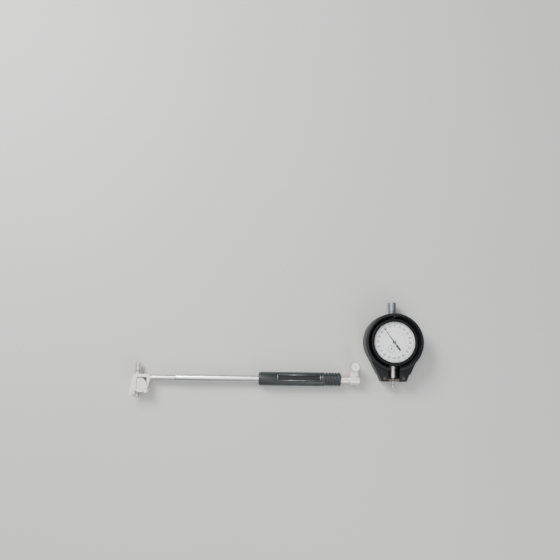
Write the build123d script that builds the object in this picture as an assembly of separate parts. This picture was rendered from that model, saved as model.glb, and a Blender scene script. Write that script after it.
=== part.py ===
from build123d import *
import math
import os

os.makedirs("parts", exist_ok=True)

# Fits between pieces that move against each other
run_fit = 0.05
free_gap = 0.3
kiss = 0.08

# Holder, along X from the measuring axis
grip_d = 16.4
grip_from = 146.5
grip_len = 99.4
tube_d = 8.8
tube_bore_d = 6.0
tube_from = 46.2
tube_past = 4.1
rod_d = 2.4
neck_d = 7.2
collar_at = 12.0
collar_len = 2.5
stop_at = 42.0
stop_len = 3.0
bush_back = 14.0
bush_len = 8.0
rod_end_len = 5.0

# Measuring head
side_gap = 0.4
face_x = 15.4
body_top = 4.2
floor_top = -8.5
floor_low = -10.6
crank_arm = 6.4
crank_half = 0.8
probe_tip = -24.0
probe_ball_r = 2.2
probe_travel = 1.6
probe_r = 2.0
bush_r = 3.0
bush_low = -16.6
boss_len = 3.0
anvil_r = 3.0
anvil_from = 8.2
anvil_tip_y = 18.6
thread_r = 2.0
web_top = -14.4
web_low = -15.9
wing_t = 2.3
guide_pin_r = 0.8
guide_pin_in = 1.9

# Clamp at the rear of the holder
sleeve_d = 10.0
sleeve_bore_d = 8.0
sleeve_seat = 5.9
sleeve_past = 22.6
clamp_past = 11.1
clamp_w = 10.3
clamp_r = 6.5
nut_h = 2.7
jaw_slit = 1.4
lug_taper = 0.9
screw_off = 15.5
knob_d = 11.7
knob_h = 9.5
screw_r = 2.0

# Label let into the grip
label_inset = 21.7
label_len = 54.1
label_w = 8.7
label_turn = 13.7
label_deep = 0.3

# Indicator, taken off and lying beside the holder
dial_off = 40.2
lay_y = 2.0
spindle_z = 10.5
cover_wall = 2.0
cover_gap = 6.0
cover_top = 29.0
neck_top = 20.0
neck_low = -3.5
neck_step_y = 4.8
neck_step = 0.6
neck_len = 8.8
neck_join = 18.8
mouth_r = 7.0
slot_w = 13.3
slot_top = 17.0
case_r = 27.0
case_wall = 3.0
case_back = 2.0
case_front = 19.5
bezel_lap = 1.5
bezel_top = 27.0
bezel_w = 2.9
window_lip = 1.5
face_z = 23.0
stem_r = 4.0
stem_low = 1.0
stem_step = 0.6
spindle_r = 2.0
contact_tip = -11.5
contact_r = 2.25
contact_len = 6.5
spindle_inset = 6.0
cap_r = 5.0
cap_gap = 2.3
cap_len = 11.6
cap_neck_r = 4.4
deck_z = 13.8
deck_t = 1.0
bridge_z = 18.1
arbor_r = 0.45
count_at = (-3.3, -7.9)
rack_pinion_r = 2.4
wheel_1_r = 7.5
pinion_2_r = 0.8
wheel_2_r = 6.434
pinion_3_r = 0.8
plate_r = 13.3
bridge_r = 14.5
bridge_t = 0.9
pillar_at = 12.3
lid_spigot = 1.0
lid_screw_len = 8.0

grip_to = grip_from + grip_len
tube_to = grip_to + tube_past
sleeve_from = grip_to - sleeve_seat
sleeve_to = grip_to + sleeve_past
clamp_from = grip_to + clamp_past
label_from = grip_from + label_inset
bezel_r = case_r + bezel_lap
face_r = bezel_r - bezel_w
window_r = face_r - window_lip
cover_r = bezel_r + cover_gap
dial_x = sleeve_to + dial_off
dial_y = cover_r + neck_len
cap_from = dial_y + cover_r + cap_gap
cap_to = cap_from + cap_len
axis_z = grip_d / 2
bore_r = tube_bore_d / 2
wing_out = axis_z
wing_in = wing_out - wing_t
head_half = wing_in - side_gap
jaw_half = axis_z - nut_h
left = -8.5
shift_x = -(left + dial_x + cover_r) / 2
shift_y = -(probe_tip + cap_to + lay_y) / 2
LOW = (Align.CENTER, Align.CENTER, Align.MIN)


def cz(r, low, high, x=0.0, y=0.0):
    return Pos(x, y, low) * Cylinder(r, high - low, align=LOW)


def cx(r, low, high, y=0.0, z=axis_z):
    return Pos(low, y, z) * Rot(0, 90, 0) * Cylinder(r, high - low, align=LOW)


def cy(r, low, high, x=0.0, z=axis_z):
    return Pos(x, low, z) * Rot(-90, 0, 0) * Cylinder(r, high - low, align=LOW)


def block(x0, x1, y0, y1, z0, z1):
    middle = Pos((x0 + x1) / 2, (y0 + y1) / 2, (z0 + z1) / 2)
    return middle * Box(x1 - x0, y1 - y0, z1 - z0)


def plate(points, low, high):
    return Pos(0, 0, low) * extrude(Polygon(*points, align=None), high - low)


def ball(r, x, y, z):
    return Pos(x, y, z) * Sphere(r)


def coil(radius, wire, length, turns):
    path = Helix(pitch=length / turns, height=length, radius=radius)
    start = Plane(origin=path @ 0, z_dir=path % 0)
    return sweep(start * Rectangle(2 * wire, 2 * wire), path=path, is_frenet=True)


def keep(name, *solids):
    placed = [Pos(shift_x, shift_y, 0) * s for s in solids]
    shape = placed[0] if len(placed) == 1 else Compound(children=placed)
    shape.label = name
    export_step(shape, f"parts/{name}.step")


# Head body: a milled block, the pocket for the crank is open to the front
pocket_low, pocket_top, pocket_back = floor_top, 0.7, axis_z - 2.6
outline = [
    (-4.5, floor_low), (12.4, floor_low), (12.9, -14.0), (13.5, -14.0),
    (14.7, -5.2), (face_x, -4.2), (face_x, body_top), (-4.5, body_top),
]
body = plate(outline, axis_z - head_half, axis_z + head_half)
body += cy(4.0, body_top, body_top + boss_len)
body -= block(-1.9, 12.1, pocket_low, pocket_top, pocket_back, axis_z + head_half + 1)
body -= cy(thread_r, 1.6, body_top + boss_len)
body -= cy(bush_r, floor_low, floor_top + 2.4)
body -= cx(rod_d / 2 + free_gap, crank_arm, 12.1)
body -= cx(bush_r, 12.1, face_x)
pin_x, pin_y = crank_arm, -crank_arm
body -= cz(guide_pin_r, axis_z - head_half, pocket_back, pin_x, pin_y)
guide_x, guide_z = 9.3, head_half - guide_pin_in
for side in (-1, 1):
    body -= cy(guide_pin_r, floor_low, -9.0, guide_x, axis_z + side * guide_z)
keep("head_body", body)

# Bush that guides the sprung contact
keep(
    "contact_bush",
    cy(bush_r, bush_low, floor_top) - cy(probe_r + run_fit, bush_low, floor_top),
)

# Sprung contact and its hard ball
seat = ball(probe_ball_r, 0, probe_tip + probe_ball_r, axis_z)
plunger = cy(probe_r, -19.0, floor_top + run_fit)
plunger += cy(1.5, -20.6, -19.0)
plunger += cy(2.7, floor_top + run_fit, floor_top + 0.55)
top_y = -crank_arm - crank_half - kiss
plunger += ball(1.2, 0, top_y - 1.2, axis_z)
keep("contact_plunger", plunger - seat)
keep("contact_ball", seat)

# Bell crank on its pin, one arm on the contact and one on the push rod
crank = cz(1.7, axis_z - 2.5, axis_z + 1.9, pin_x, pin_y)
crank += block(0.0, pin_x, pin_y - crank_half, pin_y + crank_half, axis_z - 1.5, axis_z + 1.5)
crank += cz(crank_half, axis_z - 1.5, axis_z + 1.5, 0, pin_y)
crank += block(pin_x - crank_half, pin_x + crank_half, pin_y, -0.4, axis_z - 1.5, axis_z + 1.5)
crank += cz(crank_half, axis_z - 1.5, axis_z + 1.5, pin_x, -0.4)
crank -= cz(guide_pin_r + run_fit, axis_z - 3, axis_z + 3, pin_x, pin_y)
keep("bell_crank", crank)
keep(
    "crank_pin",
    cz(guide_pin_r, axis_z - head_half, axis_z + 2.0, pin_x, pin_y)
    + cz(1.5, axis_z + 2.0, axis_z + 2.8, pin_x, pin_y),
)

# Screwed-in anvil, its ring and its hard tip
tip = cy(1.7, anvil_tip_y - 2.2, anvil_tip_y)
tip = fillet(tip.edges().sort_by(Axis.Y)[-1], 0.6)
anvil = cy(anvil_r, anvil_from, anvil_tip_y - 0.8) + cy(thread_r, 1.6, anvil_from)
anvil -= cz(0.75, axis_z - 4, axis_z + 4, 0, 13.6)
anvil -= cy(1.7, anvil_tip_y - 2.2, anvil_tip_y)
keep("anvil", anvil)
keep("anvil_tip", tip)
ring_low = body_top + boss_len
keep("anvil_ring", cy(anvil_r - 0.2, ring_low, anvil_from) - cy(thread_r, ring_low, anvil_from))

# Centring guide: two wings joined by a web, sprung along the contact
wing = [
    (-3.4, 0.4), (-5.2, -1.6), (-6.6, -6.0), (-7.2, -10.5), (left, -20.4), (-7.9, -21.2),
    (-5.4, -21.2), (-4.9, -20.4), (-4.1, -16.3), (-2.6, -15.1), (-0.6, -15.1), (1.0, -16.2),
    (2.2, -16.9), (7.2, -17.1), (8.4, -16.2), (9.2, -16.2), (10.2, -17.8), (12.4, -17.8),
    (13.6, -15.8), (13.6, -13.0), (12.8, -8.5), (11.2, -3.9), (8.6, -1.3), (5.4, -0.5),
    (1.4, -0.6), (0.4, 0.4),
]
guide = block(-4.4, 11.9, web_low, web_top, axis_z - wing_in, axis_z + wing_in)
for side in (-1, 1):
    near, far = axis_z + side * wing_in, axis_z + side * wing_out
    guide += plate(wing, min(near, far), max(near, far))
    guide -= cz(0.6, min(near, far), max(near, far), 11.6, -13.2)
    groove = sorted((far, far - side * 0.5))
    guide -= block(0.1, 0.7, -14.0, 0.6, *groove)
    guide -= cy(guide_pin_r + run_fit, web_low, web_top, guide_x, axis_z + side * guide_z)
guide -= cy(bush_r + run_fit, web_low, web_top)
keep("centring_guide", guide)
pins, springs = [], []
for side in (-1, 1):
    z = axis_z + side * guide_z
    shank = cy(guide_pin_r, web_low - 0.1, -9.0, guide_x, z)
    pins.append(shank + cy(1.4, web_low - 1.0, web_low - 0.1, guide_x, z))
    wound = coil(1.35, 0.2, floor_low - web_top - 0.4, 3)
    springs.append(Pos(guide_x, web_top + 0.2, z) * Rot(-90, 0, 0) * wound)
keep("guide_pins", *pins)
keep("guide_springs", *springs)

# Neck of the holder, soldered into the head and the tube
neck = cx(neck_d / 2, face_x, tube_from - 0.6) + cx(bush_r, 12.1, face_x)
neck += cx(neck_d / 2 - 0.5, tube_from - 0.6, tube_from) + cx(bore_r, tube_from, tube_from + 10)
neck -= cx(rod_d / 2 + run_fit, 12.1, 24)
neck -= cx(1.8, 24, tube_from + 10)
keep("holder_neck", neck)
keep("holder_tube", cx(tube_d / 2, tube_from, tube_to) - cx(bore_r, tube_from, tube_to))

# Push rod with its spring collar, rear bush and spring stop
rod_tip = crank_arm + crank_half + kiss + 0.02
rod_r = rod_d / 2
rod_to = tube_to - rod_end_len
collar_to = tube_from + collar_at + collar_len
rod = cx(rod_r, rod_tip + rod_r, rod_to) + ball(rod_r, rod_tip + rod_r, 0, axis_z)
rod += cx(bore_r - 0.4, tube_from + collar_at, collar_to)
keep("push_rod", rod)
end_x = tube_to - probe_travel - 0.2 - rod_r
keep("push_rod_end", cx(rod_r, rod_to, end_x) + ball(rod_r, end_x, 0, axis_z))
stop_x, bush_x = tube_from + stop_at, tube_to - bush_back
for name, low, high in (
    ("spring_stop", stop_x, stop_x + stop_len), ("rear_bush", bush_x, bush_x + bush_len)
):
    keep(name, cx(bore_r, low, high) - cx(rod_r + run_fit, low, high))
spring_from = collar_to + 0.25
keep(
    "push_rod_spring",
    Pos(spring_from, 0, axis_z) * Rot(0, 90, 0) * coil(2.1, 0.25, stop_x - spring_from - 0.25, 8),
)

# Grip: a moulded sleeve with ribs at the rear and a recess for the label
grip_r = grip_d / 2
grip = cx(grip_r, grip_from, grip_to)
grip = fillet(grip.edges().filter_by(GeomType.CIRCLE), 2.2)
for i in range(5):
    grip -= Pos(grip_to - 4.4 - 3.6 * i, 0, axis_z) * Rot(0, 90, 0) * Torus(grip_r, 1.0)
grip -= cx(tube_d / 2, grip_from, sleeve_from)
grip -= cx(sleeve_d / 2, sleeve_from, grip_to)
window = Pos(0, 0, axis_z) * Rot(-label_turn, 0, 0) * block(
    label_from, label_from + label_len, -label_w / 2, label_w / 2, 0, grip_r + 2
)
grip -= window & (cx(grip_r + 2, grip_from, grip_to) - cx(grip_r - label_deep, grip_from, grip_to))
keep("grip", grip)
label = cx(grip_r, label_from, label_from + label_len) - cx(
    grip_r - label_deep, label_from, label_from + label_len
)
keep("grip_label", window & label)

# Split sleeve that takes the indicator's stem
sleeve = cx(sleeve_d / 2, sleeve_from, sleeve_to)
sleeve -= cx(tube_d / 2, sleeve_from, tube_to)
sleeve -= cx(sleeve_bore_d / 2, tube_to, sleeve_to)
sleeve -= block(tube_to + 6, sleeve_to, -7, 7, axis_z - 0.5, axis_z + 0.5)
keep("split_sleeve", sleeve)

# Clamp ring with two jaws, its nut and its thumb screw
clamp_to = clamp_from + clamp_w
screw_x = (clamp_from + clamp_to) / 2
clamp = cx(clamp_r, clamp_from, clamp_to)
lug_half = clamp_w / 2 - lug_taper
lug = [
    (clamp_from, 0), (clamp_to, 0), (clamp_to, 2.0), (screw_x + lug_half, 7.0),
    (screw_x + lug_half, screw_off), (screw_x - lug_half, screw_off), (clamp_from, 7.0),
]
clamp += plate(lug, axis_z - jaw_half, axis_z + jaw_half)
clamp += cz(lug_half, axis_z - jaw_half, axis_z + jaw_half, screw_x, screw_off)
clamp -= cx(sleeve_d / 2, clamp_from, clamp_to)
clamp -= block(clamp_from, clamp_to, 3, screw_off + 7, axis_z - jaw_slit / 2, axis_z + jaw_slit / 2)
clamp -= cz(screw_r + run_fit, axis_z - 7, axis_z + 7, screw_x, screw_off)
keep("clamp_ring", clamp)
nut = extrude(RegularPolygon(4.2, 6), axis_z - jaw_half)
keep("clamp_nut", Pos(screw_x, screw_off, 0) * nut - cz(screw_r + run_fit, 0, axis_z, screw_x, screw_off))
knob_low = axis_z + jaw_half + free_gap
knob = cz(knob_d / 2, knob_low, knob_low + knob_h, screw_x, screw_off)
knob = fillet(knob.edges().filter_by(GeomType.CIRCLE), 0.5)
knob -= Pos(screw_x, screw_off, knob_low + knob_h) * Sphere(1.0)
keep("thumb_knob", knob)
keep("thumb_screw", cz(screw_r, 0.6, knob_low, screw_x, screw_off))


# The indicator lies beside the holder, a little off its line
def keep_beside(name, *solids):
    keep(name, *[Pos(0, lay_y, 0) * s for s in solids])


# Protective cover in two halves round the indicator
def around(r, low, high):
    return cz(r, low, high, dial_x, dial_y)


def neck_shape(inset, low, high):
    neck_y, half_step, half_low = dial_y - neck_join, 19.1, 15.0
    half_top = math.sqrt(cover_r**2 - neck_join**2) - 0.03
    right = [
        (half_top - inset, neck_y), (half_step - inset, neck_step_y),
        (half_step - 1.0 - inset, neck_step_y), (half_low - inset, neck_low + inset),
    ]
    shape = [(dial_x - x, y) for x, y in right] + [(dial_x + x, y) for x, y in reversed(right)]
    return plate(shape, low, high)


def dy(r, low, high):
    return cy(r, low, high, dial_x, spindle_z)


cover_in = cover_r - cover_wall
split_z = spindle_z
cap_hole = dy(cap_neck_r, dial_y + case_r, cap_from)
mouth = dy(mouth_r, neck_low - 1, neck_low + 2 * cover_wall)
rib_low, rib_high = 12.0, 14.0
screw_at = ((-11.2, 0.2), (11.2, 0.2))

back = around(cover_r, 0, split_z) + neck_shape(0, 0, split_z)
back -= around(cover_in, cover_wall, split_z)
back -= neck_shape(cover_wall, cover_wall, split_z)
back += block(dial_x - 20, dial_x + 20, rib_low, rib_high, cover_wall, split_z)
for x, y in screw_at:
    back += cz(2.4, cover_wall, split_z, dial_x + x, y)
    back -= cz(0.8, 4, split_z, dial_x + x, y)
back -= cap_hole + mouth + dy(stem_r + stem_step, rib_low - 1, rib_high + 1)
keep_beside("cover_back", back)

front = around(cover_r, split_z, cover_top)
front = fillet(front.edges().filter_by(GeomType.CIRCLE).sort_by(Axis.Z)[-1], 1.6)
front += neck_shape(0, split_z, neck_top)
pad_top = neck_top - neck_step
front -= block(dial_x - case_r, dial_x + case_r, neck_low - 1, neck_step_y, pad_top, neck_top + 1)
web_z, cone_z = bezel_top - 4.5, bezel_top - 2.5
front -= around(cover_in, split_z, web_z)
front -= around(bezel_r + 0.8, split_z, bezel_top - 1)
front -= Pos(dial_x, dial_y, cone_z) * Cone(
    bezel_r + 0.8, cover_r - 2.7, cover_top - cone_z, align=LOW
)
front -= neck_shape(cover_wall, split_z, neck_top - cover_wall)
front += block(dial_x - 20, dial_x + 20, rib_low, rib_high, split_z, neck_top - cover_wall)
front -= block(dial_x - slot_w / 2, dial_x + slot_w / 2, neck_low - 1, slot_top, 16, cover_top + 1)
front -= block(dial_x - slot_w / 2, dial_x + slot_w / 2, rib_low, rib_high, split_z, cover_top + 1)
strap = block(dial_x - 8.6, dial_x + 8.6, -2.7, -0.2, neck_top - 3.8, neck_top - 2.0)
front -= strap
for x, y in screw_at:
    front += cz(2.4, split_z, neck_top - cover_wall, dial_x + x, y)
    front -= cz(0.8, split_z, pad_top, dial_x + x, y)
    front -= cz(1.6, pad_top - 0.8, pad_top, dial_x + x, y)
front -= cap_hole + mouth
top_pin_y, pin_top = dial_y + bezel_r + 2.1, bezel_top
top_pin = cz(1.1, bezel_top - 3.5, pin_top, dial_x, top_pin_y)
front -= top_pin
keep_beside("cover_front", front)
keep_beside("cover_strap", strap)
keep_beside("cover_pin", top_pin)
screws = []
for x, y in screw_at:
    one = cz(0.8, 4, pad_top - 0.8, dial_x + x, y) + cz(1.6, pad_top - 0.8, pad_top - 0.1, dial_x + x, y)
    screws.append(one - block(dial_x + x - 2, dial_x + x + 2, y - 0.2, y + 0.2, pad_top - 0.5, pad_top))
keep_beside("cover_screws", *screws)

# Case with its deck, back lid and lid screws
case_in = case_r - case_wall
lid_top = case_back + 2.0
case = around(case_r, lid_top, case_front) - around(case_in, lid_top, case_front)
case += around(case_in, deck_z, deck_z + deck_t)
case -= dy(stem_r + stem_step, 0, dial_y) & around(case_r + 1, lid_top, case_front)
case -= dy(cap_neck_r, dial_y, cap_from) & around(case_r + 1, lid_top, case_front)
a1 = (dial_x + count_at[0], dial_y + count_at[1])
rack_x = a1[0] - rack_pinion_r - run_fit
rack_y0, rack_y1 = a1[1] - 3.0, a1[1] + 3.0
case -= block(rack_x - 2.0, rack_x + 0.4, rack_y0 - 0.5, rack_y1 + 1.9, deck_z, deck_z + deck_t)
d1 = math.hypot(*count_at)
d2 = wheel_2_r + pinion_3_r + run_fit
d12 = wheel_1_r + pinion_2_r + run_fit
turn = math.acos((d1 * d1 + d2 * d2 - d12 * d12) / (2 * d1 * d2))
bearing = math.atan2(count_at[1], count_at[0]) - turn
a2 = (dial_x + d2 * math.cos(bearing), dial_y + d2 * math.sin(bearing))
a3 = (dial_x, dial_y)
bearings = arbor_r + run_fit
for x, y in (a1, a2, a3):
    case -= cz(bearings, deck_z, deck_z + deck_t, x, y)
lid = around(case_r, case_back, lid_top) + around(case_in - 0.1, lid_top, lid_top + lid_spigot)
lid_screws, lid_at = [], case_r - case_wall / 2
for i in range(4):
    angle = math.radians(45 + 90 * i)
    x, y = dial_x + lid_at * math.cos(angle), dial_y + lid_at * math.sin(angle)
    head = cz(1.4, case_back, case_back + 0.9, x, y)
    lid_screws.append(cz(0.8, case_back + 0.9, case_back + lid_screw_len, x, y) + head)
    lid -= cz(0.8, case_back, lid_top, x, y) + head
    case -= cz(0.8, lid_top, case_back + lid_screw_len, x, y)
keep_beside("indicator_case", case)
keep_beside("case_lid", lid)
keep_beside("lid_screws", *lid_screws)

# Stem below the case and cap above it
stem_high = dial_y - case_in + 1.2
stem = dy(stem_r, stem_low, rib_low) + dy(stem_r + stem_step, rib_low, stem_high)
keep_beside("stem", stem - dy(spindle_r + run_fit, stem_low, stem_high))
cap_low = dial_y + case_in - 0.8
cap = dy(cap_neck_r, cap_low, cap_from) + dy(cap_r, cap_from, cap_to)
cap = fillet(cap.edges().filter_by(GeomType.CIRCLE).sort_by(Axis.Y)[-1], 0.8)
cap -= dy(spindle_r + free_gap, cap_low, cap_to - 3)
keep_beside("spindle_cap", cap)

# Spindle with its rack, contact and return spring
rack = block(rack_x - 1.5, rack_x, rack_y0, rack_y1, spindle_z, deck_z + deck_t + 1.3)
rack += block(rack_x - 1.5, dial_x, rack_y0, rack_y1, spindle_z - 0.9, deck_z - 0.5)
collar_y = dial_y + 6.2
spindle_low = contact_tip + contact_len
spindle = dy(spindle_r, spindle_low, cap_to - spindle_inset) + rack + dy(3.0, collar_y, collar_y + 1)
keep_beside("spindle", spindle)
keep_beside(
    "spindle_contact",
    dy(1.3, contact_tip + contact_r, spindle_low)
    + ball(contact_r, dial_x, contact_tip + contact_r, spindle_z),
)
spring_low = collar_y + 1 + 0.25
keep_beside(
    "spindle_spring",
    Pos(dial_x, spring_low, spindle_z) * Rot(-90, 0, 0) * coil(2.6, 0.2, cap_low - 0.25 - spring_low, 6),
)

# Movement: bridge on three pillars and the wheels between deck and bridge
deck_top = deck_z + deck_t
under_face = face_z - 0.8
bridge_top = bridge_z + bridge_t
bridge = around(bridge_r, bridge_z, bridge_top)
pillars = []
for angle in (30, 140, 300):
    x = dial_x + pillar_at * math.cos(math.radians(angle))
    y = dial_y + pillar_at * math.sin(math.radians(angle))
    pillars.append(cz(1.1, deck_top, under_face, x, y))
    bridge -= cz(1.1, bridge_z, bridge_top, x, y)
for x, y in (a1, a2, a3):
    bridge -= cz(bearings, bridge_z, bridge_top, x, y)
keep_beside("movement_bridge", bridge)
keep_beside("movement_pillars", *pillars)
count_z, hand_z = face_z + 0.25, face_z + 0.75
wheel_1 = cz(arbor_r, deck_z + 0.1, count_z, *a1) + cz(rack_pinion_r, deck_top + 0.2, deck_top + 1.4, *a1)
wheel_1 += cz(wheel_1_r, deck_top + 1.5, deck_top + 1.9, *a1)
keep_beside("rack_wheel", wheel_1)
wheel_2 = cz(arbor_r, deck_z + 0.1, bridge_top - 0.1, *a2)
wheel_2 += cz(pinion_2_r, deck_top + 1.4, deck_top + 2.0, *a2)
wheel_2 += cz(wheel_2_r, deck_top + 2.4, deck_top + 2.8, *a2)
keep_beside("second_wheel", wheel_2)
centre = cz(arbor_r, deck_z + 0.1, hand_z + 0.5, *a3) + cz(pinion_3_r, deck_top + 2.2, deck_top + 3.0, *a3)
keep_beside("centre_pinion", centre)


# Hands, drawn as flat blades and turned to the reading shown
def hand(points, angle, low, high, at):
    turned = []
    for along, across in points:
        a = math.radians(90 + angle)
        turned.append(
            (at[0] + along * math.cos(a) - across * math.sin(a),
             at[1] + along * math.sin(a) + across * math.cos(a))
        )
    return plate(turned, low, high)


hand_r = window_r - 1.5
blade = [(hand_r, -0.22), (hand_r, 0.22), (2.0, 0.65), (-4.6, 0.75), (-5.4, 1.5), (-12.3, 1.15),
         (-12.3, -1.15), (-5.4, -1.5), (-4.6, -0.75), (2.0, -0.65)]
main = hand(blade, 35.5, hand_z, hand_z + 0.25, a3) + cz(1.9, hand_z - 0.2, hand_z + 0.5, *a3)
keep_beside("main_hand", main - cz(arbor_r, face_z, hand_z + 0.5, *a3))
small = hand([(3.4, -0.1), (3.4, 0.1), (-1.2, 0.35), (-1.2, -0.35)], 0, count_z - 0.15, count_z, a1)
small += cz(0.8, count_z - 0.2, count_z + 0.05, *a1)
keep_beside("count_hand", small - cz(arbor_r, face_z, count_z, *a1))

# Fixed plate in the middle, turning face, bezel and crystal
middle = around(plate_r, under_face, face_z)
for x, y in (a1, a3):
    middle -= cz(0.9, under_face, face_z, x, y)
keep_beside("count_plate", middle)
keep_beside("dial_face", around(face_r, under_face, face_z) - around(plate_r + free_gap, under_face, face_z))
skirt_r = case_r + free_gap
profile = [
    (skirt_r, 16.8), (bezel_r, 16.8), (bezel_r, bezel_top - 1.1), (bezel_r - 0.8, bezel_top),
    (window_r, bezel_top), (window_r, bezel_top - 1.0), (face_r, bezel_top - 1.0),
    (face_r, under_face), (face_r - 1.2, under_face), (face_r - 1.2, 20.0), (skirt_r, 20.0),
]
rim = revolve(Rot(90, 0, 0) * Polygon(*profile, align=None), Axis.Z)
keep_beside("bezel", Pos(dial_x, dial_y, 0) * rim)
glass_low = bezel_top - 2.0
keep_beside("crystal", around(face_r, glass_low, bezel_top - 1.0))
seal_low = glass_low - 0.6
keep_beside("crystal_seal", around(face_r, seal_low, glass_low) - around(face_r - 0.7, seal_low, glass_low))
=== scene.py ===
import math

import bmesh
import bpy
from mathutils import Matrix, Vector


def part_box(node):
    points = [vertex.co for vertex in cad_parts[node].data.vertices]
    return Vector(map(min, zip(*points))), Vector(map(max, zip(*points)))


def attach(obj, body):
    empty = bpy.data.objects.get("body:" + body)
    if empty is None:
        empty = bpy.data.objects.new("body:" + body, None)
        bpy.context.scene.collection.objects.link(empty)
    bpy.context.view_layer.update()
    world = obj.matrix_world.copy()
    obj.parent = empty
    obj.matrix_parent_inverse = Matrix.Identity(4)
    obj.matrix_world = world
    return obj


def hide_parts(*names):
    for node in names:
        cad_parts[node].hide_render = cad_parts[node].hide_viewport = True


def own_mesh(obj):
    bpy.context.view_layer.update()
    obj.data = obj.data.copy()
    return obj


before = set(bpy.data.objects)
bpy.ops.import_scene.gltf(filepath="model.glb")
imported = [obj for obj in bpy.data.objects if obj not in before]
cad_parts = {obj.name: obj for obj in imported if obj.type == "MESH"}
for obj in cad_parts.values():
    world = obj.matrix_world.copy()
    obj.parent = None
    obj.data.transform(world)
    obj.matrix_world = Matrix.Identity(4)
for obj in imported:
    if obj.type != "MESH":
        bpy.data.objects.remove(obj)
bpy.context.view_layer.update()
MM = 0.001


# The view: the gauge lies on a pale table and is seen from almost straight above.
# The camera's place, tilt and lens repeat the photograph's frame at 1.21 mm to a pixel.
PHOTO_WIDTH, FOCAL_PIXELS, SENSOR_WIDTH = 560, 604.5, 36.0
EYE_PLACE, EYE_TILT, EYE_ROLL = (0.00372, -0.00532, 0.75), 7.0, 0.63
eye = bpy.data.cameras.new("eye")
eye.sensor_width = SENSOR_WIDTH
eye.lens = FOCAL_PIXELS * SENSOR_WIDTH / PHOTO_WIDTH
camera = bpy.data.objects.new("camera", eye)
bpy.context.scene.collection.objects.link(camera)
camera.matrix_world = (
    Matrix.Translation(EYE_PLACE)
    @ Matrix.Rotation(math.radians(EYE_TILT), 4, "X")
    @ Matrix.Rotation(math.radians(EYE_ROLL), 4, "Z")
)
bpy.context.scene.camera = camera

# A material's pattern is soft noise or small cells: the node's kind and the output it gives.
CLOUDS = ("ShaderNodeTexNoise", "Fac")
CELLS = ("ShaderNodeTexVoronoi", "Distance")


def linear(colour):
    """A colour given as sRGB hex, as the linear values that a shader takes."""
    parts = [int(colour[i:i + 2], 16) / 255 for i in (0, 2, 4)]
    values = [c / 12.92 if c <= 0.04045 else ((c + 0.055) / 1.055) ** 2.4 for c in parts]
    return (*values, 1.0)


def add_node(tree, kind, colours=(), **inputs):
    """Adds one node with its inputs as constants or links, and a ramp's sRGB colours."""
    made = tree.nodes.new(kind)
    for name, value in inputs.items():
        socket = made.inputs[name.replace("_", " ")]
        if isinstance(value, bpy.types.NodeSocket):
            tree.links.new(value, socket)
        else:
            socket.default_value = value
    for index, colour in enumerate(colours):
        made.color_ramp.elements[index].color = linear(colour)
    return made


def surface(name, colours, rough, tone, grain=None, relief=None, stretch=None, **constants):
    """A material whose colour follows the pattern tone, and roughness and relief its grain.

    A pattern is its kind, its size in millimetres and its detail. Without a grain, tone
    serves for all. Relief is a depth in millimetres and a strength.
    """
    material = bpy.data.materials.new(name)
    material.use_nodes = True
    tree = material.node_tree
    shader = tree.nodes["Principled BSDF"]
    for socket, value in constants.items():
        shader.inputs[socket.replace("_", " ")].default_value = value
    place = add_node(tree, "ShaderNodeTexCoord").outputs["Object"]
    if stretch:
        place = add_node(tree, "ShaderNodeMapping", Vector=place, Scale=stretch).outputs["Vector"]
    patterns = [
        add_node(tree, kind, Vector=place, Scale=1 / (size * MM), Detail=detail).outputs[output]
        for (kind, output), size, detail in (tone, grain or tone)
    ]
    paint = add_node(tree, "ShaderNodeValToRGB", colours, Fac=patterns[0])
    tree.links.new(paint.outputs["Color"], shader.inputs["Base Color"])
    if rough:
        gloss = add_node(
            tree, "ShaderNodeMapRange", Value=patterns[1], To_Min=rough[0], To_Max=rough[1]
        )
        tree.links.new(gloss.outputs["Result"], shader.inputs["Roughness"])
    if relief:
        depth, strength = relief
        bump = add_node(
            tree, "ShaderNodeBump", Height=patterns[1], Distance=depth * MM, Strength=strength
        )
        tree.links.new(bump.outputs["Normal"], shader.inputs["Normal"])
    return material


# Matt laminate, so that the table stays quiet and gives only a soft shadow and no mirror image.
FLOOR_HALF = 4.0
laminate = surface(
    "pale_table_laminate", ("babab8", "c1c1bf"), None, (CLOUDS, 330, 3.0), Roughness=0.55
)
table = bmesh.new()
bmesh.ops.create_grid(table, x_segments=1, y_segments=1, size=FLOOR_HALF)
floor_mesh = bpy.data.meshes.new("floor")
table.to_mesh(floor_mesh)
table.free()
floor_mesh.materials.append(laminate)
floor = bpy.data.objects.new("floor", floor_mesh)
bpy.context.scene.collection.objects.link(floor)

# A wide soft box overhead, a stronger one at the upper left, and a weak one from the front.
for name, where, size, watts in (
    ("overhead", (-0.12, 0.2, 1.45), 1.5, 12.5),
    ("key", (-0.75, 0.85, 1.0), 0.6, 30.0),
    ("front", (0.5, -1.0, 0.8), 0.8, 9.0),
):
    lamp = bpy.data.lights.new(name, "AREA")
    lamp.size, lamp.energy = size, watts
    stand = bpy.data.objects.new(name, lamp)
    bpy.context.scene.collection.objects.link(stand)
    facing = Vector(where).to_track_quat("Z", "Y").to_matrix().to_4x4()
    stand.matrix_world = Matrix.Translation(where) @ facing

# The room is a little darker at the horizon than above, which gives round bars their edges.
room = bpy.data.worlds.new("room")
room.use_nodes = True
bpy.context.scene.world = room
sky = room.node_tree
toward = add_node(sky, "ShaderNodeTexCoord").outputs["Generated"]
height = add_node(sky, "ShaderNodeSeparateXYZ", Vector=toward).outputs["Z"]
glow = add_node(sky, "ShaderNodeValToRGB", ("808285", "c8cacc"), Fac=height)
sky.links.new(glow.outputs["Color"], sky.nodes["Background"].inputs["Color"])
sky.nodes["Background"].inputs["Strength"].default_value = 0.85


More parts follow.
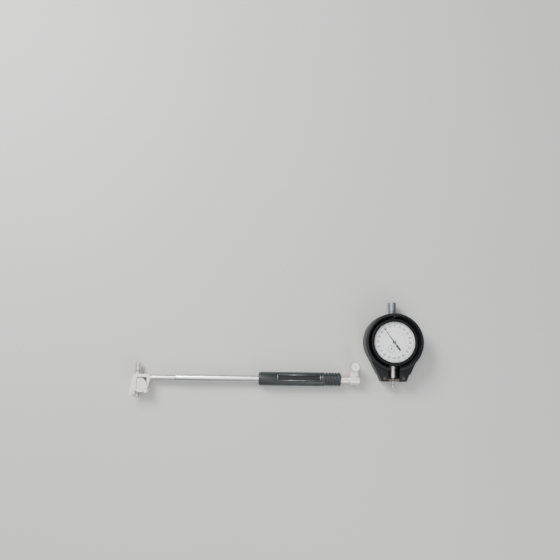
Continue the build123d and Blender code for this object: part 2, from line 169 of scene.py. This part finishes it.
# Tube and neck of the holder: steel bars, ground round and hard chrome plated.
# The neck is soldered into the head and the tube; a thin groove marks their joint.
EDGE_ANGLE = 35
FACE_TO_AXIS = 15.4
AXIS_Z = sum(corner[2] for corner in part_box("holder_tube")) / 2
HEAD_X = sum(corner[0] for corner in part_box("anvil")) / 2
TUBE_Y = sum(corner[1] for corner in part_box("holder_tube")) / 2
FACE_X = HEAD_X + FACE_TO_AXIS * MM


def to_object(shape, name, material, body, slot, *nodes, smooth=EDGE_ANGLE):
    """Makes a bmesh a piece that rides on a body and stands for its CAD nodes."""
    mesh = bpy.data.meshes.new(name)
    shape.to_mesh(mesh)
    shape.free()
    mesh.materials.append(material)
    mesh.shade_smooth()
    mesh.set_sharp_from_angle(angle=math.radians(smooth))
    made = bpy.data.objects.new(name, mesh)
    bpy.context.scene.collection.objects.link(made)
    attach(made, body)
    if nodes:
        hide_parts(*nodes)
    return made


def turned(profile, place, steps=96):
    """A closed ring or solid spun from (radius, along) points in millimetres."""
    shape = bmesh.new()
    dots = [shape.verts.new((r * MM, 0, a * MM)) for r, a in profile]
    lines = [shape.edges.new((dots[i - 1], dots[i])) for i in range(len(dots))]
    bmesh.ops.spin(
        shape, geom=dots + lines, axis=(0, 0, 1), cent=(0, 0, 0),
        angle=2 * math.pi, steps=steps, use_merge=True,
    )
    bmesh.ops.remove_doubles(shape, verts=shape.verts, dist=1e-7)
    bmesh.ops.recalc_face_normals(shape, faces=shape.faces)
    bmesh.ops.transform(shape, matrix=place, verts=shape.verts)
    return shape


def along_x(start):
    """Turns a spun piece's axis to the tube's, starting at start, in metres."""
    return Matrix.Translation((start, TUBE_Y, AXIS_Z)) @ Matrix.Rotation(math.radians(90), 4, "Y")


# Hard chrome is bluish white and nearly a mirror; grinding leaves fine rings round the bar
# that soften it. They are too fine to show and are drawn 0.5 mm apart.
chrome = surface(
    "ground_hard_chrome", ("d8d8d9", "dedede"), (0.25, 0.28), (CLOUDS, 0.5, 2.0),
    relief=(0.01, 0.04), stretch=(1.0, 0.02, 0.02), Metallic=1.0,
)

spigot_r, edge_r, edge_steps = 3.0, 0.25, 4
tube_low, tube_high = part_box("holder_tube")
tube_len = (tube_high[0] - tube_low[0]) / MM
tube_r = (tube_high[2] - tube_low[2]) / 2 / MM
turns = [math.radians(90 * i / edge_steps) for i in range(edge_steps, -1, -1)]
front_edge = [
    (tube_r - edge_r * (1 - math.cos(turn)), edge_r * (1 - math.sin(turn))) for turn in turns
]
to_object(
    turned(
        [(spigot_r, 0.0)] + front_edge + [(tube_r, tube_len), (spigot_r, tube_len)],
        along_x(tube_low[0]),
    ),
    "ground_tube", chrome, "gauge", "bright_chrome", "holder_tube",
)

neck_low, neck_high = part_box("holder_neck")
neck_len = (tube_low[0] - FACE_X) / MM
neck_r = (neck_high[2] - neck_low[2]) / 2 / MM
back_len = (neck_high[0] - FACE_X) / MM
rod_way_r, wide_way_r, wide_from, spigot_len = 1.25, 1.8, 8.6, 3.3
groove_w, groove_deep, groove_edge, groove_slope = 0.6, 0.5, 0.2, 0.25
groove_from = neck_len - groove_w
to_object(
    turned(
        [(rod_way_r, -spigot_len), (spigot_r, -spigot_len), (spigot_r, 0.0), (neck_r, 0.0),
         (neck_r, groove_from - groove_slope), (neck_r - groove_edge, groove_from),
         (neck_r - groove_deep, groove_from), (neck_r - groove_deep, neck_len),
         (spigot_r, neck_len), (spigot_r, back_len), (wide_way_r, back_len),
         (wide_way_r, wide_from), (rod_way_r, wide_from)],
        along_x(FACE_X),
    ),
    "ground_neck", chrome, "gauge", "bright_chrome", "holder_neck",
)

# Silver solder fills the groove and has gone dark and dull, so the joint shows as a thin line.
solder = surface(
    "tarnished_silver_solder", ("2b2c2e", "45474a"), (0.5, 0.7), (CLOUDS, 0.55, 3.0),
    Metallic=0.6,
)
fill_edge, fill_middle = 0.22, 0.3
to_object(
    turned(
        [(neck_r - groove_deep, groove_from), (neck_r - fill_edge, groove_from),
         (neck_r - fill_middle, neck_len - groove_w / 2), (neck_r - fill_edge, neck_len),
         (neck_r - groove_deep, neck_len)],
        along_x(FACE_X),
    ),
    "solder_ring", solder, "gauge", "bright_chrome",
)


# Measuring head: a milled steel block with its anvil boss, plated in satin chrome.
# The neck is soldered into its end wall and the bush is pressed into its floor.
def from_node(node):
    """A CAD node's mesh as a bmesh, its loose triangles merged."""
    shape = bmesh.new()
    shape.from_mesh(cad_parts[node].data)
    bmesh.ops.remove_doubles(shape, verts=shape.verts, dist=2e-6)
    return shape


def dressed(node, name, material, body, slot, width, segments=2):
    """A copy of a CAD node, its milled or moulded edges broken by a small bevel."""
    shape = from_node(node)
    bmesh.ops.dissolve_limit(
        shape, angle_limit=math.radians(0.5), verts=shape.verts, edges=shape.edges
    )
    made = to_object(shape, name, material, body, slot, node)
    edge = made.modifiers.new("broken_edge", "BEVEL")
    edge.width, edge.segments = width * MM, segments
    edge.limit_method, edge.angle_limit = "ANGLE", math.radians(EDGE_ANGLE)
    edge.harden_normals = True
    return made


# Bead blasting before plating leaves a soft grain of 0.33 mm, so the warm white metal glows
# evenly and has no mirror image; handling leaves faint clouds in it.
satin = surface(
    "satin_chrome_plate", ("dad6cd", "ebe8e1"), (0.38, 0.46), (CLOUDS, 5.5, 4.0),
    grain=(CLOUDS, 0.33, 3.0), relief=(0.02, 0.3), Metallic=1.0,
)
dressed("head_body", "milled_head", satin, "gauge", "satin_chrome", 0.25)
dressed("anvil", "anvil_rod", satin, "gauge", "satin_chrome", 0.3)


# Centring guide: one steel casting with two wings that straddle the head, satin chromed.
# It slides on the bush and two pins, and its blades find the bore's widest place.
# A dark strip sunk into each wing's face is painted shade, standing for the soft shading line
# down the guide.
dressed("centring_guide", "winged_guide", satin, "guide", "satin_chrome", 0.45, 3)

# Painted shade: a dull near-black with specks of 0.5 mm, so that the strips read as a soft grey
# shading line.
painted_shade_paint = surface(
    "painted_shade_line_black", ("1a1a19", "2c2b29"), (0.5, 0.7), (CLOUDS, 0.5, 3.0),
    Specular_IOR_Level=0.3,
)
guide_low, guide_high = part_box("centring_guide")
line_x, line_w, line_from, line_to = 0.4, 0.58, -13.98, -0.1
line_deep, line_sunk, cells_across, cells_along = 0.5, 0.12, 4, 24
# Each strip is painted shade: a dark sheet laid where the guide's face only has shading.
painted_shade_lines = bmesh.new()
for face, side in ((guide_high[2], 1), (guide_low[2], -1)):
    fill = bmesh.ops.create_grid(
        painted_shade_lines, x_segments=cells_across, y_segments=cells_along, size=0.5
    )["verts"]
    bmesh.ops.scale(painted_shade_lines, verts=fill, vec=(line_w * MM, (line_to - line_from) * MM, 1))
    if side < 0:
        bmesh.ops.rotate(painted_shade_lines, verts=fill, matrix=Matrix.Rotation(math.pi, 3, "Y"))
    middle = TUBE_Y + (line_from + line_to) / 2 * MM
    spot = (HEAD_X + line_x * MM, middle, face - side * line_sunk * MM)
    bmesh.ops.translate(painted_shade_lines, verts=fill, vec=spot)
walls = bmesh.ops.extrude_face_region(painted_shade_lines, geom=painted_shade_lines.faces[:])["geom"]
for point in (v for v in walls if isinstance(v, bmesh.types.BMVert)):
    point.co.z += math.copysign((line_deep - line_sunk) * MM, AXIS_Z - point.co.z)
bmesh.ops.recalc_face_normals(painted_shade_lines, faces=painted_shade_lines.faces)
to_object(painted_shade_lines, "painted_shade_centre_line", painted_shade_paint, "guide", "cover_plastic")


# Sprung contact, hard ball, anvil tip, and the dark ring that seals the anvil's thread.
# The balls are sintered carbide, ground and lapped; the plunger is turned tool steel.
def repaint(material, *nodes):
    """Gives CAD nodes whose shape is right their finish."""
    for name in nodes:
        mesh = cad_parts[name].data
        if mesh.materials:
            mesh.materials[0] = material
        else:
            mesh.materials.append(material)


# Lapped carbide is a cool pale grey with an even sheen, and hard grains that barely show.
carbide = surface(
    "lapped_carbide", ("bfc1c4", "d2d3d5"), (0.26, 0.34), (CLOUDS, 1.1, 2.0), Metallic=1.0
)
repaint(carbide, "contact_ball", "anvil_tip", "push_rod_end", "spindle_contact")

# Turned steel is a middle grey, streaked by turning marks, which are drawn 0.4 mm apart.
steel = surface(
    "turned_steel", ("a5a6a8", "bdbec0"), (0.24, 0.38), (CLOUDS, 0.4, 2.0), Metallic=1.0
)
repaint(steel, "contact_plunger", "contact_bush", "guide_pins", "crank_pin", "bell_crank")
repaint(steel, "push_rod")

# Moulded nitrile rubber is a dull black that blooms to dark grey in patches under 1 mm.
rubber = surface("black_nitrile_rubber", ("141414", "232323"), (0.6, 0.8), (CLOUDS, 0.83, 4.0))
repaint(rubber, "anvil_ring")

# Turned brass is a warm yellow that tarnishes to brown in patches of 2.5 mm.
brass = surface(
    "turned_brass", ("a8834a", "c9a463"), (0.22, 0.36), (CLOUDS, 2.5, 4.0), Metallic=1.0
)
repaint(brass, "spring_stop", "rear_bush")


# Springs of the guide, the push rod and the spindle: drawn wire, wound cold.
# Each is held between two faces; the coil is drawn at one fixed length.
# Drawing leaves the wire dark grey and bright in spots of 0.67 mm.
wire = surface(
    "drawn_spring_wire", ("77787b", "9a9b9e"), (0.25, 0.4), (CLOUDS, 0.67, 2.0), Metallic=1.0
)
for node, name, joint, way, travel in (
    ("guide_springs", "guide_coils", "guide_slide", 1, 2.0),
    ("push_rod_spring", "rod_coil", "rod_slide", 0, 1.6),
    ("spindle_spring", "spindle_coil", "spindle_slide", 1, 1.0),
):
    coil = to_object(from_node(node), name, wire, "gauge", "spring_wire", node, smooth=60)
    low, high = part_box(node)
    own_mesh(coil)


# Grip: a sleeve of slate-grey nylon moulded over the tube, ribbed at the rear.
# It keeps the hand's warmth off the steel; the label lies in a shallow recess.
# The mould is spark eroded, so the nylon has a grain of 0.25 mm and a low, broken sheen.
slate = surface(
    "moulded_slate_nylon", ("1e2324", "272d2e"), (0.36, 0.5), (CLOUDS, 17, 3.0),
    grain=(CLOUDS, 0.25, 3.0), relief=(0.03, 0.35),
)
dressed("grip", "ribbed_grip", slate, "gauge", "grip_plastic", 0.12)

# Polyester film is smoother and blacker than the grip, with faint smears of 6.7 mm.
film = surface(
    "black_polyester_film", ("0b0b0c", "151517"), (0.34, 0.44), (CLOUDS, 6.7, 3.0),
    Specular_IOR_Level=0.3,
)
repaint(film, "grip_label")
# Foil print is a soft silver, broken into grains of 0.55 mm.
silver = surface(
    "silver_foil_print", ("a9adb0", "cfd2d4"), (0.3, 0.45), (CLOUDS, 0.55, 2.0), Metallic=1.0
)

label_turn, label_r, label_half_w = math.radians(13.7), 8.2, 4.35
inset_x, inset_turn, arc_step = 1.0, 0.11, 0.06
frame_w, frame_proud, frame_t = 0.4, 0.01, 0.02
label_low, label_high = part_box("grip_label")
label_len = (label_high[0] - label_low[0]) / MM
outer = math.asin(label_half_w / label_r) - inset_turn
inner = outer - frame_w / label_r
frame_line = bmesh.new()
for start, width, low, high in (
    (inset_x, label_len - 2 * inset_x, -outer, -inner),
    (inset_x, label_len - 2 * inset_x, inner, outer),
    (inset_x, frame_w, -inner, inner),
    (label_len - inset_x - frame_w, frame_w, -inner, inner),
):
    edge_x = label_low[0] + start * MM
    radius = (label_r + frame_proud) * MM
    ends = [frame_line.verts.new((edge_x + w * MM, 0, radius)) for w in (0, width)]
    first = frame_line.edges.new(ends)
    bmesh.ops.rotate(frame_line, verts=ends, matrix=Matrix.Rotation(low, 3, "X"))
    bmesh.ops.spin(
        frame_line, geom=ends + [first], axis=(1, 0, 0), cent=(0, 0, 0),
        angle=high - low, steps=max(2, int((high - low) / arc_step)),
    )
bmesh.ops.rotate(frame_line, verts=frame_line.verts, matrix=Matrix.Rotation(-label_turn, 3, "X"))
bmesh.ops.translate(frame_line, verts=frame_line.verts, vec=(0, TUBE_Y, AXIS_Z))
bmesh.ops.recalc_face_normals(frame_line, faces=frame_line.faces)
printed = to_object(frame_line, "label_frame_line", silver, "gauge", "label_film")
thick = printed.modifiers.new("print_thickness", "SOLIDIFY")
thick.thickness, thick.offset = frame_t * MM, 0


# Clamp: a split sleeve for the indicator's stem, a ring with two jaws round it, satin chromed,
# its nut, and a knurled thumb screw turned from chromed steel that draws the jaws together.
dressed("split_sleeve", "slotted_sleeve", satin, "gauge", "satin_chrome", 0.15)
dressed("clamp_ring", "two_jaw_clamp", satin, "gauge", "satin_chrome", 0.4, 3)
dressed("clamp_nut", "clamp_hex_nut", chrome, "gauge", "bright_chrome", 0.2)
repaint(steel, "thumb_screw")

knob_low, knob_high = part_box("thumb_knob")
knob_x, knob_y = (knob_low[0] + knob_high[0]) / 2, (knob_low[1] + knob_high[1]) / 2
knob_r = (knob_high[0] - knob_low[0]) / 2
knob_h = (knob_high[2] - knob_low[2]) / MM
teeth, tooth_depth, foot_share = 54, 0.05, 0.90
foot_h, chamfer_h, crown_h, dimple_deep = 0.55, 0.5, 0.25, 2.4
knob = bmesh.new()
bmesh.ops.create_circle(knob, cap_ends=True, segments=2 * teeth, radius=knob_r * foot_share)
bmesh.ops.translate(knob, verts=knob.verts, vec=(knob_x, knob_y, knob_low[2]))
top = knob.faces[:][0]
centre = Matrix.Translation((-knob_x, -knob_y, 0))
# Each step up: its height, its width against the last one's, and how deep its valleys are.
for up, share, crimp in (
    (foot_h, 1 / foot_share, tooth_depth),
    (knob_h - foot_h - chamfer_h - crown_h, 1.0, 0.0),
    (chamfer_h, 0.92, 0.0),
    (crown_h, 0.95, 0.0),
    (0.0, 0.34, 0.0),
    (-dimple_deep, 0.9, 0.0),
):
    made = bmesh.ops.extrude_face_region(knob, geom=[top])["geom"]
    bmesh.ops.delete(knob, geom=[top], context="FACES_ONLY")
    top = next(f for f in made if isinstance(f, bmesh.types.BMFace))
    bmesh.ops.scale(knob, verts=top.verts, vec=(share, share, 1), space=centre)
    if crimp:
        valleys = list(top.verts)[::2]
        bmesh.ops.scale(knob, verts=valleys, vec=(1 - crimp, 1 - crimp, 1), space=centre)
    bmesh.ops.translate(knob, verts=top.verts, vec=(0, 0, up * MM))
bmesh.ops.holes_fill(knob, edges=[e for e in knob.edges if e.is_boundary])
bmesh.ops.recalc_face_normals(knob, faces=knob.faces)
to_object(knob, "knurled_knob", chrome, "clamp_screw", "bright_chrome", "thumb_knob", smooth=25)


# Protective cover: two shells of moulded black ABS round the indicator, with a dished rim.
# Two screws in the neck hold them together; a steel strap crosses the slot's mouth.
# The mould has a leather-like texture of 0.4 mm, which breaks up the plastic's shine.
abs_black = surface(
    "moulded_black_abs", ("0e0f10", "17181a"), (0.38, 0.52), (CLOUDS, 25, 3.0),
    grain=(CELLS, 0.4, 0.0), relief=(0.03, 0.3), Specular_IOR_Level=0.25,
)
dressed("cover_back", "cover_rear_shell", abs_black, "gauge", "cover_plastic", 0.5, 3)
dressed("cover_front", "cover_front_shell", abs_black, "gauge", "cover_plastic", 0.4, 3)

# Oil blackening leaves the steel a dull brown-grey, with a bloom in patches of 1.1 mm.
blackened = surface(
    "oil_blackened_steel", ("4c4744", "625c58"), (0.34, 0.5), (CLOUDS, 1.1, 3.0), Metallic=1.0
)
dressed("cover_strap", "neck_strap", blackened, "gauge", "steel", 0.15)
dressed("cover_screws", "neck_screws", blackened, "gauge", "steel", 0.1)
dressed("cover_pin", "rim_pin", blackened, "gauge", "steel", 0.15)


# Case, back lid, stem and cap of the indicator: pressed and turned metal, satin grey.
# The spindle runs in the stem, with its rack, collar and hard contact.
# A fine blasted grain of 0.45 mm gives the grey metal a soft, even sheen.
grey_metal = surface(
    "satin_grey_metal", ("85878a", "9a9c9f"), (0.34, 0.48), (CLOUDS, 0.45, 3.0),
    relief=(0.01, 0.3), Metallic=1.0,
)
repaint(grey_metal, "indicator_case", "case_lid")
dressed("spindle_cap", "top_cap", grey_metal, "gauge", "case_metal", 0.25, 3)
dressed("stem", "plain_stem", satin, "gauge", "case_metal", 0.25)
dressed("spindle", "rack_spindle", steel, "indicator_spindle", "steel", 0.15)
repaint(steel, "lid_screws")


# Movement: a nickelled bridge on three pillars, and three steel arbors with brass wheels.
# The rack turns the first wheel, which drives the second and the centre pinion.
repaint(brass, "rack_wheel", "second_wheel")
repaint(steel, "movement_bridge", "movement_pillars", "centre_pinion")


# Dial: a turning face of white enamelled brass round a fixed middle plate.
# Ticks, figures and the small scale are printed in black; both hands are lacquered black.
# Stoved enamel is a clean, faintly warm white with a low gloss and hardly any variation.
enamel = surface(
    "white_dial_enamel", ("eeeeec", "f4f4f2"), (0.42, 0.5), (CLOUDS, 11, 2.0), Coat_Weight=0.15
)
repaint(enamel, "dial_face", "count_plate")
# Pad-printed ink dries matt and slightly uneven, in patches of 0.67 mm.
ink = surface(
    "black_dial_ink", ("101012", "1c1c1f"), (0.45, 0.6), (CLOUDS, 0.67, 2.0),
    Specular_IOR_Level=0.3,
)

face_low, face_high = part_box("dial_face")
dial_x, dial_y = (face_low[0] + face_high[0]) / 2, (face_low[1] + face_high[1]) / 2
face_z = face_high[2]
face_turn, print_t = math.radians(-2.0), 0.02
figure_size, figure_r, figure_weight = 3.4, 19.0, 0.08
tick_end, tenth_from, fifth_from, tick_from = 24.0, 21.2, 22.0, 22.7
ticks, figures, tenth_w, tick_w = 200, 20, 0.26, 0.13


def stroke(shape, turn, inner, outer, width):
    """One printed radial stroke, sizes in millimetres, turned from the top."""
    made = bmesh.ops.create_cube(shape, size=1.0)["verts"]
    bmesh.ops.scale(shape, verts=made, vec=(width * MM, (outer - inner) * MM, print_t * MM))
    bmesh.ops.translate(shape, verts=made, vec=(0, (inner + outer) / 2 * MM, print_t / 2 * MM))
    bmesh.ops.rotate(shape, verts=made, matrix=Matrix.Rotation(turn, 3, "Z"))


dial_print = bmesh.new()
for tick in range(ticks):
    start = tenth_from if tick % 10 == 0 else fifth_from if tick % 5 == 0 else tick_from
    width = tenth_w if tick % 10 == 0 else tick_w
    stroke(dial_print, face_turn - math.radians(360 / ticks * tick), start, tick_end, width)
for figure in range(figures):
    words = bpy.data.curves.new("figure", "FONT")
    words.body = str(10 * min(figure, figures - figure))
    words.size, words.extrude = figure_size * MM, print_t / 2 * MM
    words.bevel_depth, words.bevel_resolution = figure_weight * MM, 0
    words.align_x, words.align_y = "CENTER", "CENTER"
    holder = bpy.data.objects.new("figure", words)
    flat = bpy.data.meshes.new_from_object(holder)
    turn = face_turn - math.radians(360 / figures * figure)
    spot = (-figure_r * MM * math.sin(turn), figure_r * MM * math.cos(turn), print_t / 2 * MM)
    flat.transform(Matrix.Translation(spot) @ Matrix.Rotation(face_turn, 4, "Z"))
    dial_print.from_mesh(flat)
    bpy.data.objects.remove(holder)
bmesh.ops.translate(dial_print, verts=dial_print.verts, vec=(dial_x, dial_y, face_z))
to_object(dial_print, "dial_figures", ink, "turning_bezel", "hand_black")

count_low, count_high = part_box("rack_wheel")
count_x, count_y = (count_low[0] + count_high[0]) / 2, (count_low[1] + count_high[1]) / 2
ring_in, ring_out, long_from, short_from = 4.2, 4.5, 3.0, 3.4
count_ticks, count_w = 20, 0.2
small_scale = turned(
    [(ring_in, 0.0), (ring_out, 0.0), (ring_out, print_t), (ring_in, print_t)],
    Matrix.Identity(4), steps=64,
)
for tick in range(count_ticks):
    start = short_from if tick % 2 else long_from
    stroke(small_scale, -math.radians(360 / count_ticks * tick), start, ring_in, count_w)
bmesh.ops.translate(small_scale, verts=small_scale.verts, vec=(count_x, count_y, face_z))
to_object(small_scale, "count_scale", ink, "gauge", "hand_black")

# Sprayed lacquer is a deep black with a slight flow in it and a silky gloss.
lacquer = surface(
    "black_hand_lacquer", ("0c0c0d", "17171a"), (0.25, 0.4), (CLOUDS, 2.0, 2.0),
    Specular_IOR_Level=0.3,
)
dressed("main_hand", "reading_hand", lacquer, "hand", "hand_black", 0.04)
dressed("count_hand", "turns_hand", lacquer, "first_wheel", "hand_black", 0.03)


# Bezel, crystal and seal: a turned ring in black enamel that turns on the case.
# The crystal is flat clear acrylic held down in it on a thin rubber seal.
# Stoved enamel on the bezel is deep black, with a fine orange peel of 0.7 mm in its sheen.
black_enamel = surface(
    "black_bezel_enamel", ("050506", "0c0c0d"), (0.28, 0.4), (CLOUDS, 0.7, 2.0),
    relief=(0.01, 0.3), Specular_IOR_Level=0.15,
)
dressed("bezel", "turned_bezel", black_enamel, "turning_bezel", "bezel_black", 0.25, 3)
repaint(rubber, "crystal_seal")

# Cast acrylic is all but unseen: a faint grey veil and a sharp, weak reflection.
acrylic = surface(
    "clear_acrylic", ("b4babd", "ccd1d4"), None, (CLOUDS, 14, 3.0),
    Roughness=0.03, IOR=1.49, Alpha=0.06,
)
repaint(acrylic, "crystal")
